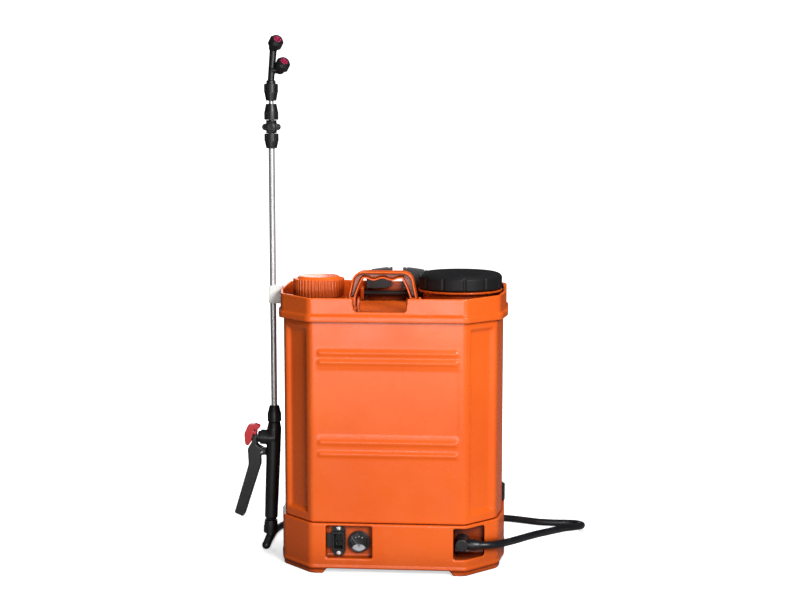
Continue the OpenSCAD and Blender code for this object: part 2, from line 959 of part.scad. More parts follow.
module strap_lugs() {
  color(black) for (s = [-1, 1])
    mirror([s < 0 ? 1 : 0, 0, 0])
      difference() {
        box([lug_x, lug_y0, lug_z - 12], [lug_x + 5, lug_y1, lug_z + 12]);
        box([lug_x + 1.8, lug_y0 + 6, lug_z - 13], [lug_x + 6, lug_y0 + 12, lug_z + 13]);
      }
}

// ---- Lance, from the hose elbow up ----

grip_top = 223;
grip_drop = 5.5;
lever_pivot = [-18, 172];
valve_z = 196;
stem_r = 3;

// Children drawn about the tube's axis are tilted with the grip.
module on_grip() {
  translate([-lance_x, lance_y, grip_top - grip_drop])
    rotate([0, grip_lean, 0])
      translate([0, 0, -grip_top])
        children();
}

module on_lance() {
  translate([-lance_x, lance_y, 0]) children();
}

// A round nut whose lower part is ribbed and whose upper part tapers.
module ribbed_nut(z0, z1, r0, r1, bore, ribs = 16) {
  mid = z0 + (z1 - z0) * 0.55;
  difference() {
    union() {
      translate([0, 0, z0]) cylinder(r = r0 - 0.7, h = mid - z0);
      translate([0, 0, mid]) cylinder(r1 = r0 - 0.7, r2 = r1, h = z1 - mid);
      for (k = [0 : ribs - 1])
        rotate([0, 0, k * 360 / ribs])
          box([r0 - 3, -0.8, z0 + 1], [r0, 0.8, mid - 1]);
    }
    translate([0, 0, z0 - 1]) cylinder(r = bore, h = z1 - z0 + 2);
  }
}

bend_z = 32;
bend_len = 20.5;
bend_lean = 19;
elbow_reach = 18.6;

module hose_elbow() {
  color(black) {
    on_grip() {
      translate([0, 0, bend_z]) cylinder(r = 6.5, h = 57 - bend_z);
      translate([0, 0, bend_z]) sphere(r = 6.9);
      translate([0, 0, bend_z])
        rotate([0, bend_lean, 0])
          translate([0, 0, -bend_len]) {
            cylinder(r = 6.5, h = bend_len);
            sphere(r = 7.2);
          }
      rod_y([-bend_len * sin(bend_lean), 0, bend_z - bend_len * cos(bend_lean)], 6.5,
        elbow_reach);
    }
  }
}

module swivel_nut() {
  color(black) on_grip() ribbed_nut(35, 56.5, 12, 10.5, 6.5, 12);
}

module grip_body() {
  color(black) on_grip() difference() {
    union() {
      translate([0, 0, 57]) cylinder(r = 8.8, h = 5);
      translate([0, 0, 61]) cylinder(r1 = 10.6, r2 = 11.8, h = 119);
      translate([0, 0, 180]) cylinder(r = 11.8, h = 32);
      translate([0, 0, 212]) cylinder(r1 = 11.8, r2 = 9.5, h = 11);
      translate([-22, 0, valve_z]) rotate([0, 90, 0]) cylinder(r = 12.2, h = 26);
      box([lever_pivot.x, -4, lever_pivot.y - 6], [0, 4, lever_pivot.y + 6]);
      rod_y([lever_pivot.x, -4, lever_pivot.y], 6, 8);
    }
    rod_x([-23, 0, valve_z], 7, 21);
    translate([0, 0, 50]) cylinder(r = 3.5, h = 180);
    rod_y([lever_pivot.x, -5, lever_pivot.y], 2, 10);
  }
}

module trigger_pin() {
  color(steel) on_grip() rod_y([lever_pivot.x, -9.5, lever_pivot.y], 2, 19);
}

module valve_cap() {
  color(black) on_grip() difference() {
    union() {
      rod_x([-26, 0, valve_z], 9.5, 4);
      rod_x([-22, 0, valve_z], 7, 3);
    }
    rod_x([-27, 0, valve_z], stem_r + 0.05, 10);
  }
}

// Spring between the cap and the stem's piston.
module valve_spring() {
  color(steel) on_grip() difference() {
    rod_x([-19, 0, valve_z], 6, 8.5);
    rod_x([-20, 0, valve_z], 4.4, 12);
  }
}

module valve_stem() {
  color(steel) on_grip() {
    rod_x([-37, 0, valve_z], stem_r, 30);
    rod_x([-10.5, 0, valve_z], 6.4, 4);
  }
}

// Lever: a bent bar whose fork straddles the lug on the grip.
latch_pivot = [-31.5, 207];
latch_pin_r = 1.5;
latch_w = 14;
tongue_y0 = 3.7;
tongue_y1 = 5.2;

// Lever: a bent bar whose fork straddles the lug on the grip, with two
// tongues at its top that carry the latch.
module trigger_lever() {
  color(black) on_grip() difference() {
    union() {
      translate([0, 9, 0])
        rotate([90, 0, 0])
          linear_extrude(18)
            polygon(rounded([
              [-33.8, 198], [-35.8, 187.5], [-42, 176], [-39.5, 150], [-60.5, 66.5],
              [-45, 60.5], [-20, 150], [-20.5, 160], [-22.5, 178], [-27.5, 184], [-27.5, 198]
            ], [2, 6, 8, 20, 3, 3, 6, 4, 4, 3, 3]));
      for (s = [-1, 1])
        translate([0, s * 6.6 + 2.4, 0])
          rotate([90, 0, 0])
            linear_extrude(4.8)
              polygon([
                [-30, 184], [-34, 160],
                [-18, 166.2], [-18, 177.8]
              ]);
      for (s = [-1, 1])
        rod_y([lever_pivot.x, s * 6.6 - 2.4, lever_pivot.y], 5.8, 4.8);
      for (y0 = [tongue_y0, -tongue_y1]) {
        box([latch_pivot.x - 3, y0, 192], [latch_pivot.x + 3, y0 + tongue_y1 - tongue_y0, latch_pivot.y]);
        rod_y([latch_pivot.x, y0, latch_pivot.y], 3, tongue_y1 - tongue_y0);
      }
      for (y0 = [tongue_y0, -latch_w / 2])
        rod_y([latch_pivot.x, y0, latch_pivot.y], latch_pin_r, latch_w / 2 - tongue_y0);
    }
    box([-33, -4.2, 150], [0, 4.2, 186]);
    box([-60, -3.6, 190], [-20, 3.6, 203]);
    rod_y([lever_pivot.x, -10, lever_pivot.y], 2.05, 20);
  }
}

module trigger_latch() {
  color("crimson") on_grip() difference() {
    translate([0, latch_w / 2, 0])
      rotate([90, 0, 0])
        linear_extrude(latch_w)
          polygon(rounded([
            [-46.5, 182.5], [-41.5, 180.5], [-37, 188], [-34.8, 200.2], [-28.6, 201],
            [-28, 209.5], [-24, 210], [-23.5, 215], [-32, 218], [-43, 216], [-49, 200]
          ], [3, 2, 6, 0.8, 0.8, 1, 1, 1.5, 6, 7, 10]));
    box([-41, -tongue_y1 - 0.2, 190], [-20, tongue_y1 + 0.2, 211]);
    rod_y([latch_pivot.x, -latch_w, latch_pivot.y], latch_pin_r + 0.05, 2 * latch_w);
  }
}

module lance_nut() {
  color(black) on_lance()
    ribbed_nut(grip_top + 0.6 - grip_drop, 250 - grip_drop, 11.5, 8, tube_r);
}

outer_tube_z0 = grip_top + 2 - grip_drop;
coupler_z = 700;

module outer_tube() {
  color(steel) on_lance() difference() {
    translate([0, 0, outer_tube_z0]) cylinder(r = tube_r, h = coupler_z - 10 - outer_tube_z0);
    translate([0, 0, outer_tube_z0 - 1]) cylinder(r = inner_r + 0.05, h = 500);
  }
}

module clamp_nut_lower() {
  color(black) on_lance() mirror([0, 0, 1]) ribbed_nut(-689.5, -666, 11.5, 8.5, tube_r);
}

// Coupler with a round boss at the front and two wings.
module coupler() {
  color(black) on_lance() difference() {
    union() {
      translate([0, 0, coupler_z - 10]) cylinder(r = 8.5, h = 21);
      rod_y([0, -12, coupler_z], 9, 24);
      rod_y([0, -13, coupler_z], 6, 26);
      for (s = [-1, 1]) {
        rod_y([s * 9, -6, coupler_z], 5.5, 12);
        box([min(0, s * 9), -6, coupler_z - 5.5], [max(0, s * 9), 6, coupler_z + 5.5]);
      }
    }
    translate([0, 0, coupler_z - 12]) cylinder(r = inner_r + 0.05, h = 30);
  }
}

module clamp_nut_upper() {
  color(black) on_lance() ribbed_nut(711.5, 737, 11.5, 8.5, inner_r + 0.05);
}

module inner_tube() {
  color(steel) on_lance() difference() {
    translate([0, 0, 310]) cylinder(r = inner_r, h = 450);
    translate([0, 0, 309]) cylinder(r = inner_r - 1, h = 452);
  }
}

module nozzle_nut() {
  color(black) on_lance() difference() {
    mirror([0, 0, 1]) ribbed_nut(-769, -742, 11.3, 8.3, inner_r);
    translate([0, 0, 759.5]) cylinder(r = inner_r + 2.25, h = 10);
  }
}

// Both nozzles point forward, upward and a little to the right.
nozzle_tilt = 52;
nozzle_turn = -57;
lower_at = [15, 0, 791];
upper_at = [4.5, 0, 826];
stem_z = 774;
stem_lean = atan(upper_at.x / (upper_at.z - stem_z));

module at_nozzle(p) {
  translate(p) rotate([0, nozzle_tilt, nozzle_turn]) children();
}

module nozzle_body() {
  color(black) on_lance() {
    difference() {
      translate([0, 0, 760]) cylinder(r = inner_r + 2.2, h = 9);
      translate([0, 0, 759]) cylinder(r = inner_r, h = 11);
    }
    translate([0, 0, 769]) cylinder(r = 7.5, h = stem_z - 769);
    translate([0, 0, stem_z]) {
      rotate([0, stem_lean, 0])
        cylinder(r1 = 5.2, r2 = 5.8, h = (upper_at.z - stem_z) / cos(stem_lean));
      sphere(r = 5.6);
    }
    translate(upper_at) sphere(r = 6.6);
    rod_x([0, 0, lower_at.z], 6, lower_at.x);
    for (p = [lower_at, upper_at])
      at_nozzle(p) {
        cylinder(r = 7.5, h = 7);
        sphere(r = 7.4);
        cylinder(r = 6, h = 15);
      }
  }
}

module nozzle_tips() {
  color("crimson") on_lance()
    for (p = [lower_at, upper_at])
      at_nozzle(p)
        translate([0, 0, 15])
          difference() {
            cylinder(r = 6, h = 6.5);
            translate([0, 0, 1.5]) cylinder(r1 = 1, r2 = 4.5, h = 5.1);
          }
}

// A nozzle's union cap: twelve flats, a tapered mouth and a running bore.
module nozzle_cap(p) {
  color(black) on_lance()
    at_nozzle(p)
      difference() {
        union() {
          translate([0, 0, 7.3]) cylinder(r = 11.8, h = 9.5, $fn = 10);
          translate([0, 0, 16.8]) cylinder(r1 = 11.3, r2 = 8.6, h = 4.6);
        }
        translate([0, 0, 6]) cylinder(r = 6.05, h = 18);
      }
}

module nozzle_cap_lower() { nozzle_cap(lower_at); }
module nozzle_cap_upper() { nozzle_cap(upper_at); }

tank_body();
top_collar();
base_shell();
base_plate();
base_screws();
filler_strainer();
filler_gasket();
filler_cap();
vent_valve();
aux_gasket();
aux_cap();
carry_handle();
handle_pins();
lance_clip();
clip_screw();
charge_socket();
charge_pins();
socket_screws();
gauge_case();
gauge_dial();
gauge_needle();
gauge_lens();
power_switch();
switch_rocker();
battery();
battery_terminals();
pump_motor();
pump_head();
tank_outlet();
suction_pipe();
delivery_pipe();
outlet_elbow();
hose_nut();
hose();
strap_bar();
shoulder_pad_left();
shoulder_pad_right();
strap_webbing();
strap_buckles();
strap_lugs();
hose_elbow();
swivel_nut();
grip_body();
trigger_pin();
valve_cap();
valve_spring();
valve_stem();
trigger_lever();
trigger_latch();
lance_nut();
outer_tube();
clamp_nut_lower();
coupler();
clamp_nut_upper();
inner_tube();
nozzle_nut();
nozzle_body();
nozzle_tips();
nozzle_cap_lower();
nozzle_cap_upper();
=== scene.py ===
"""Looks of a battery knapsack sprayer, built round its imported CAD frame. Units are metres."""

import json
import math

import bmesh
import bpy
import numpy as np
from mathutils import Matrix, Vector
from mathutils.bvhtree import BVHTree


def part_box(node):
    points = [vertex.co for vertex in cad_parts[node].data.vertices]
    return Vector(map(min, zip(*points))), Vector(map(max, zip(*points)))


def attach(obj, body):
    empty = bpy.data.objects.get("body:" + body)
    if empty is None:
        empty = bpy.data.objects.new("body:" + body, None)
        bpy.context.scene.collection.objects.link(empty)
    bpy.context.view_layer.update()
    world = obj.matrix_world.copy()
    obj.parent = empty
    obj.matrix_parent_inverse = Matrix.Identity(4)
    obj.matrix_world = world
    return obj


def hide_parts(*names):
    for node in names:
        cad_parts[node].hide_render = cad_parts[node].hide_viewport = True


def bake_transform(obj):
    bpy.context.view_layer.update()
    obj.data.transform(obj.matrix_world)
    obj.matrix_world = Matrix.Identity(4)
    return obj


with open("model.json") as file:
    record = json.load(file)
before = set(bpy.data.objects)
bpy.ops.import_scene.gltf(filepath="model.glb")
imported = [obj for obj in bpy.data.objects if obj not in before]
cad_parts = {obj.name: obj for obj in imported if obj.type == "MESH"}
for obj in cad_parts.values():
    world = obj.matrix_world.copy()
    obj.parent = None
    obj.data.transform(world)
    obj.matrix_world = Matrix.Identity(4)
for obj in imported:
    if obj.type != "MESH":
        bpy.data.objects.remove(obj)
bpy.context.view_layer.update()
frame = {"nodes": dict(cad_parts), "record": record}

MM = 0.001
body_of_node = {
    node: body
    for body, nodes in frame["record"]["behaviour"]["bodies"].items()
    for node in nodes
}


# ---- Camera ----

def make_camera(azimuth=4.5, elevation=7.0, distance=2.4, target=(0.011, 0.0, 0.423), lens=66.96):
    """Camera that looks at target from the front, a little to the right and from above."""
    a, e = math.radians(azimuth), math.radians(elevation)
    away = Vector((math.sin(a) * math.cos(e), -math.cos(a) * math.cos(e), math.sin(e)))
    data = bpy.data.cameras.new("camera")
    data.lens = lens
    data.sensor_width = 36
    camera = bpy.data.objects.new("camera", data)
    camera.location = Vector(target) + away * distance
    camera.rotation_euler = (-away).to_track_quat("-Z", "Y").to_euler()
    bpy.context.scene.collection.objects.link(camera)
    bpy.context.scene.camera = camera


make_camera()


# ---- Mesh helpers ----

def add_object(name, mesh):
    obj = bpy.data.objects.new(name, mesh)
    bpy.context.scene.collection.objects.link(obj)
    return obj


def object_from(name, verts, faces, smooth=True):
    mesh = bpy.data.meshes.new(name)
    mesh.from_pydata([tuple(v) for v in verts], [], faces)
    mesh.update()
    if smooth:
        mesh.polygons.foreach_set("use_smooth", [True] * len(mesh.polygons))
    return add_object(name, mesh)


def bake_modifiers(obj):
    """Replace obj's mesh by what its modifiers make of it."""
    bpy.context.view_layer.update()
    graph = bpy.context.evaluated_depsgraph_get()
    mesh = bpy.data.meshes.new_from_object(obj.evaluated_get(graph))
    obj.modifiers.clear()
    obj.data = mesh
    return obj


def cad_copy(node, name):
    """A free copy of a CAD node's mesh, with its triangles joined into flat faces."""
    bm = bmesh.new()
    bm.from_mesh(frame["nodes"][node].data)
    bmesh.ops.remove_doubles(bm, verts=bm.verts, dist=2e-6)
    bmesh.ops.dissolve_limit(
        bm, angle_limit=math.radians(0.5), verts=bm.verts, edges=bm.edges
    )
    mesh = bpy.data.meshes.new(name)
    bm.to_mesh(mesh)
    bm.free()
    for attribute in ("custom_normal", "UVMap"):
        if attribute in mesh.attributes:
            mesh.attributes.remove(mesh.attributes[attribute])
    mesh.materials.clear()
    return add_object(name, mesh)


def finish_piece(obj, node, material):
    """Give a piece its material and its CAD body, and hide the CAD node that it stands for."""
    obj.data.materials.clear()
    obj.data.materials.append(material)
    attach(obj, body_of_node[node])
    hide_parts(node)
    return obj


def bevelled(node, material, width, segments=2, angle=32):
    """The CAD shape with every sharp edge broken by a small round."""
    obj = cad_copy(node, node + "_skin")
    bevel = obj.modifiers.new("edges", "BEVEL")
    bevel.width = width
    bevel.segments = segments
    bevel.limit_method = "ANGLE"
    bevel.angle_limit = math.radians(angle)
    bevel.harden_normals = False
    obj.data.polygons.foreach_set("use_smooth", [True] * len(obj.data.polygons))
    normals = obj.modifiers.new("normals", "WEIGHTED_NORMAL")
    normals.keep_sharp = True
    bake_modifiers(obj)
    return finish_piece(obj, node, material)


def moulded(node, material, voxel, rounds=3):
    """The CAD shape remeshed and eased, as thick moulded plastic comes out."""
    obj = cad_copy(node, node + "_skin")
    remesh = obj.modifiers.new("remesh", "REMESH")
    remesh.mode = "VOXEL"
    remesh.voxel_size = voxel
    remesh.use_smooth_shade = True
    ease = obj.modifiers.new("ease", "SMOOTH")
    ease.factor = 0.5
    ease.iterations = rounds
    bake_modifiers(obj)
    obj.data.polygons.foreach_set("use_smooth", [True] * len(obj.data.polygons))
    return finish_piece(obj, node, material)


def catmull(points, per_span):
    """Smooth line through points, per_span steps between neighbours."""
    p = [Vector(q) for q in points]
    ends = [2 * p[0] - p[1]] + p + [2 * p[-1] - p[-2]]
    line = []
    for i in range(1, len(ends) - 2):
        a, b, c, d = ends[i - 1 : i + 3]
        for k in range(per_span):
            t = k / per_span
            line.append(
                0.5
                * (
                    2 * b
                    + (c - a) * t
                    + (2 * a - 5 * b + 4 * c - d) * t**2
                    + (3 * b - a - 3 * c + d) * t**3
                )
            )
    line.append(p[-1])
    return line


def sweep(name, line, section):
    """Sweep a closed cross-section, given as (across, up) pairs, along a line."""
    verts, faces = [], []
    n = len(line)
    count = len(section)
    for i, centre in enumerate(line):
        tangent = (line[min(n - 1, i + 1)] - line[max(0, i - 1)]).normalized()
        across = tangent.cross(Vector((0, 0, 1))).normalized()
        up = across.cross(tangent)
        verts += [centre + across * x + up * y for x, y in section]
    for i in range(n - 1):
        for k in range(count):
            m = (k + 1) % count
            a, b = i * count, (i + 1) * count
            faces.append((a + k, a + m, b + m, b + k))
    faces.append(tuple(reversed(range(count))))
    faces.append(tuple(range((n - 1) * count, n * count)))
    return object_from(name, verts, faces)


def joined(parts):
    """One list of vertices and one of faces from many such pairs."""
    verts, faces = [], []
    for new_verts, new_faces in parts:
        start = len(verts)
        verts += new_verts
        faces += [tuple(start + i for i in f) for f in new_faces]
    return verts, faces


def circle(radius, sides):
    return [
        (radius * math.cos(2 * math.pi * k / sides), radius * math.sin(2 * math.pi * k / sides))
        for k in range(sides)
    ]


# ---- Hose ----

HOSE_ROUTE = [
    (134.3, -90, 46), (148, -90, 46), (162, -85, 45.5), (176, -73, 44), (190, -54, 42),
    (204, -29, 39), (219, 0, 35.5), (236, 33, 31), (254, 66, 26), (271, 98, 21), (287, 124, 17),
    (301, 141, 14), (311, 155, 12), (315.5, 170, 9.5), (312.8, 182, 8), (304, 190.8, 7),
    (292, 194.5, 6.3), (276, 195, 6), (258, 196, 6), (240, 199, 6), (222, 205.5, 6),
    (204, 212.5, 6), (184, 218.5, 6), (150, 222, 6), (100, 222, 6), (45, 221, 6), (-10, 220, 6),
    (-62, 219, 6), (-108, 216, 6), (-146, 206, 6), (-177, 187, 6), (-199, 160, 6),
    (-210, 130, 6.5), (-213.8, 100, 7.2), (-213.8, 72, 7.6), (-213.8, 50, 7.6),
    (-213.8, 34, 7.6),
]
HOSE_DIAMETER = 11.8 * MM
HOSE_STEPS = 8
HOSE_SIDES = 20


def make_hose(material):
    route = [Vector(p) * MM for p in HOSE_ROUTE]
    line = catmull(route, HOSE_STEPS)
    hose = sweep("hose_tube", line, circle(HOSE_DIAMETER / 2, HOSE_SIDES))
    hose.data.materials.append(material)
    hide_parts("hose")
    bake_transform(hose)


# ---- Materials ----

class Graph:
    """A small builder for one material's node tree."""

    def __init__(self, name):
        self.material = bpy.data.materials.new(name)
        self.material.use_nodes = True
        self.tree = self.material.node_tree
        self.shader = self.tree.nodes["Principled BSDF"]
        self.place = self.add("ShaderNodeTexCoord").outputs["Object"]

    def add(self, kind, **values):
        node = self.tree.nodes.new(kind)
        for key, value in values.items():
            setattr(node, key, value)
        return node

    def link(self, source, target):
        self.tree.links.new(source, target)

    def stretched(self, scale):
        """The object's own coordinates, scaled along each axis."""
        mapping = self.add("ShaderNodeMapping")
        mapping.inputs["Scale"].default_value = scale
        self.link(self.place, mapping.inputs["Vector"])
        return mapping.outputs["Vector"]

    def noise(self, scale, detail=3.0, rough=0.5, vector=None):
        node = self.add("ShaderNodeTexNoise")
        node.inputs["Scale"].default_value = scale
        node.inputs["Detail"].default_value = detail
        node.inputs["Roughness"].default_value = rough
        self.link(vector or self.place, node.inputs["Vector"])
        return node.outputs["Fac"]

    def ranged(self, value, low, high, to_low=0.0, to_high=1.0):
        node = self.add("ShaderNodeMapRange")
        node.inputs["From Min"].default_value = low
        node.inputs["From Max"].default_value = high
        node.inputs["To Min"].default_value = to_low
        node.inputs["To Max"].default_value = to_high
        self.link(value, node.inputs["Value"])
        return node.outputs["Result"]

    def mix(self, amount, a, b):
        """Colour a turning into colour b; a may be a colour or a socket."""
        node = self.add("ShaderNodeMix", data_type="RGBA")
        self.link(amount, node.inputs["Factor"])
        for value, socket in ((a, node.inputs["A"]), (b, node.inputs["B"])):
            if isinstance(value, (tuple, list)):
                socket.default_value = (*value, 1.0)
            else:
                self.link(value, socket)
        return node.outputs["Result"]

    def maths(self, operation, a, b=None):
        node = self.add("ShaderNodeMath", operation=operation)
        for value, socket in ((a, node.inputs[0]), (b, node.inputs[1])):
            if isinstance(value, (int, float)):
                socket.default_value = value
            elif value is not None:
                self.link(value, socket)
        return node.outputs["Value"]

    def bump(self, height, strength, distance, under=None):
        node = self.add("ShaderNodeBump")
        node.inputs["Strength"].default_value = strength
        node.inputs["Distance"].default_value = distance
        self.link(height, node.inputs["Height"])
        if under is not None:
            self.link(under, node.inputs["Normal"])
        return node.outputs["Normal"]

    def finish(self, color=None, rough=None, normal=None, **constants):
        for value, key in ((color, "Base Color"), (rough, "Roughness"), (normal, "Normal")):
            if value is not None:
                self.link(value, self.shader.inputs[key])
        for key, value in constants.items():
            self.shader.inputs[key.replace("_", " ")].default_value = value
        return self.material


def plastic(name, base, worn, dusty, rough, grain, wave, coat=0.0, specular=0.5, deep=None):
    """Moulded plastic: tone clouds, rubbed patches, fine grain and slight waviness; given deep,
    painted shade darkens its hollows and recesses.
    """
    g = Graph(name)
    cloud = g.ranged(g.noise(7.0, 4), 0.35, 0.68)
    tone = g.mix(cloud, base, worn)
    streaks = g.noise(30.0, 6, 0.65, g.stretched((1.0, 1.0, 0.35)))
    tone = g.mix(g.ranged(streaks, 0.62, 0.80, 0.0, 0.35), tone, dusty)
    # Painted shade: ambient occlusion mixes the deep colour into hollows, recesses and corners.
    if deep:
        painted_hollow_shade = g.add("ShaderNodeAmbientOcclusion", samples=6)
        painted_hollow_shade.inputs["Distance"].default_value = 0.09
        tone = g.mix(g.ranged(painted_hollow_shade.outputs["AO"], 0.22, 0.74), deep, tone)
    scuff = g.noise(160.0, 8, 0.7, g.stretched((0.25, 1.0, 1.0)))
    rubbed = g.ranged(scuff, 0.56, 0.78, 0.0, 0.22)
    uneven = g.ranged(g.noise(18.0, 5), 0.3, 0.7, rough - 0.05, rough + 0.06)
    roughness = g.maths("ADD", uneven, rubbed)
    normal = g.bump(g.noise(3.5, 2), 0.5, wave)
    normal = g.bump(g.noise(grain, 4, 0.6), 0.22, 0.0002, normal)
    return g.finish(
        tone, roughness, normal,
        Coat_Weight=coat, Coat_Roughness=0.12, Specular_IOR_Level=specular,
    )


def steel(name, base, rough, streak_scale, metallic=1.0, anisotropic=0.0):
    """Drawn or plated steel with fine lines and faint blotches."""
    g = Graph(name)
    lines = g.noise(90.0, 6, 0.7, g.stretched(streak_scale))
    blotch = g.noise(26.0, 4)
    dark = tuple(c * 0.72 for c in base)
    tone = g.mix(g.ranged(lines, 0.35, 0.7), base, dark)
    tone = g.mix(g.ranged(blotch, 0.6, 0.8, 0.0, 0.35), tone, tuple(c * 0.5 for c in base))
    roughness = g.ranged(g.maths("ADD", lines, blotch), 0.7, 1.3, rough - 0.06, rough + 0.12)
    normal = g.bump(lines, 0.15, 0.0001)
    return g.finish(tone, roughness, normal, Metallic=metallic, Anisotropic=anisotropic)


def rubber(name, base, dusty, rough):
    """Hose or seal rubber with a faint skin texture and dust."""
    g = Graph(name)
    dust = g.ranged(g.noise(40.0, 6, 0.6), 0.5, 0.8, 0.0, 0.6)
    tone = g.mix(dust, base, dusty)
    roughness = g.ranged(g.noise(55.0, 5), 0.3, 0.75, rough - 0.06, rough + 0.14)
    normal = g.bump(g.noise(900.0, 3), 0.25, 0.0002)
    return g.finish(tone, roughness, normal, Specular_IOR_Level=0.45)


def woven(name, base, light, pitch, rough=0.85):
    """Cloth: crossing threads of the given pitch, with fluff and worn ridges."""
    g = Graph(name)
    turns = 2 * math.pi / pitch
    heights = []
    for scale in ((turns, 0.0, turns * 0.5), (turns * 0.5, 0.0, -turns)):
        wave = g.add("ShaderNodeTexWave", wave_type="BANDS", bands_direction="DIAGONAL")
        wave.inputs["Scale"].default_value = 1.0
        wave.inputs["Distortion"].default_value = 0.6
        wave.inputs["Detail"].default_value = 1.0
        g.link(g.stretched(tuple(c / 20.0 for c in scale)), wave.inputs["Vector"])
        heights.append(wave.outputs["Fac"])
    threads = g.maths("MAXIMUM", heights[0], heights[1])
    fluff = g.noise(700.0, 5, 0.7)
    tone = g.mix(g.ranged(threads, 0.3, 0.95), base, light)
    faded = g.ranged(g.noise(22.0, 4), 0.45, 0.75, 0.0, 0.5)
    tone = g.mix(faded, tone, tuple(c * 2.2 for c in base))
    normal = g.bump(threads, 0.6, 0.0005)
    normal = g.bump(fluff, 0.35, 0.0003, normal)
    roughness = g.ranged(fluff, 0.2, 0.8, rough - 0.1, min(1.0, rough + 0.1))
    return g.finish(tone, roughness, normal, Sheen_Weight=0.35, Sheen_Roughness=0.5)


ORANGE = (0.80, 0.112, 0.011)
ORANGE_PALE = (0.86, 0.136, 0.016)
ORANGE_DUST = (0.88, 0.19, 0.05)
# Dark brown of the painted shade that the orange plastic gets in its hollows.
ORANGE_PAINTED_SHADE = (0.10, 0.008, 0.001)
orange = plastic(
    "orange_plastic", ORANGE, ORANGE_PALE, ORANGE_DUST, 0.27, 620.0, 0.0016,
    coat=0.07, specular=0.38, deep=ORANGE_PAINTED_SHADE,
)
black = plastic(
    "black_plastic", (0.008, 0.008, 0.009), (0.014, 0.014, 0.015), (0.045, 0.045, 0.045),
    0.36, 1500.0, 0.0006,
)
cap_black = plastic(
    "cap_plastic", (0.010, 0.010, 0.011), (0.015, 0.015, 0.016), (0.035, 0.035, 0.035),
    0.46, 1100.0, 0.0008, specular=0.16,
)
red = plastic(
    "latch_plastic", (0.46, 0.016, 0.022), (0.54, 0.024, 0.03), (0.62, 0.09, 0.09),
    0.3, 900.0, 0.0006, coat=0.2,
)
crimson = plastic(
    "tip_plastic", (0.26, 0.004, 0.045), (0.34, 0.008, 0.06), (0.4, 0.05, 0.1),
    0.35, 900.0, 0.0003,
)
white = plastic(
    "clip_plastic", (0.86, 0.86, 0.83), (0.92, 0.92, 0.90), (0.75, 0.73, 0.66),
    0.42, 800.0, 0.0005,
)
battery_case = plastic(
    "battery_plastic", (0.05, 0.055, 0.06), (0.07, 0.075, 0.08), (0.15, 0.15, 0.15),
    0.5, 900.0, 0.0006,
)
pale_print = plastic(
    "dial_print", (0.75, 0.75, 0.76), (0.82, 0.82, 0.82), (0.6, 0.6, 0.6), 0.45, 900.0, 0.0001
)
tube_steel = steel("tube_steel", (0.72, 0.72, 0.73), 0.34, (1.0, 1.0, 0.012), metallic=0.65)
zinc = steel("zinc_steel", (0.62, 0.63, 0.64), 0.30, (1.0, 1.0, 1.0))
bright_zinc = steel("bright_zinc", (0.85, 0.85, 0.84), 0.32, (1.0, 1.0, 1.0), metallic=0.7)
brass = steel("contact_brass", (0.72, 0.50, 0.20), 0.3, (1.0, 1.0, 1.0))
needle_paint = plastic(
    "needle_paint", (0.30, 0.30, 0.30), (0.36, 0.36, 0.36), (0.2, 0.2, 0.2), 0.5, 900.0, 0.0001
)
# The charge pins are painted dark, standing in for the shade inside the socket mouth.
pin_painted_shade = steel("pin_painted_shade", (0.10, 0.09, 0.07), 0.4, (1.0, 1.0, 1.0))
hose_rubber = rubber("hose_rubber", (0.008, 0.008, 0.010), (0.03, 0.03, 0.032), 0.34)
seal_rubber = rubber("seal_rubber", (0.010, 0.010, 0.010), (0.03, 0.03, 0.03), 0.55)
pipe_rubber = rubber("pipe_rubber", (0.22, 0.23, 0.24), (0.3, 0.3, 0.3), 0.45)
strap_cloth = woven("strap_cloth", (0.010, 0.010, 0.012), (0.026, 0.026, 0.029), 0.0016)
web_cloth = woven("web_cloth", (0.012, 0.012, 0.014), (0.040, 0.040, 0.044), 0.0022)


def lens_glass():
    g = Graph("lens_glass")
    roughness = g.ranged(g.noise(60.0, 4), 0.3, 0.8, 0.02, 0.09)
    return g.finish(
        None, roughness, g.bump(g.noise(300.0, 3), 0.05, 0.0001),
        Transmission_Weight=1.0, IOR=1.3, Base_Color=(0.95, 0.97, 1.0, 1.0),
    )


clear = lens_glass()

make_hose(hose_rubber)

# ---- Shells and hard parts ----

for node, voxel, rounds in (
    ("tank_body", 2.0 * MM, 2),
    ("top_collar", 1.25 * MM, 2),
    ("base_shell", 1.5 * MM, 2),
    ("carry_handle", 0.8 * MM, 2),
):
    moulded(node, orange, voxel, rounds)

moulded("aux_cap", orange, 0.7 * MM, 1)
moulded("filler_cap", cap_black, 1.0 * MM, 2)
moulded("trigger_lever", black, 0.8 * MM, 3)
moulded("grip_body", black, 0.8 * MM, 3)
moulded("trigger_latch", red, 0.6 * MM, 3)
moulded("coupler", black, 0.6 * MM, 2)
moulded("nozzle_body", black, 0.6 * MM, 2)
moulded("lance_clip", white, 0.7 * MM, 2)
moulded("hose_elbow", black, 0.7 * MM, 2)
moulded("outlet_elbow", black, 0.8 * MM, 2)

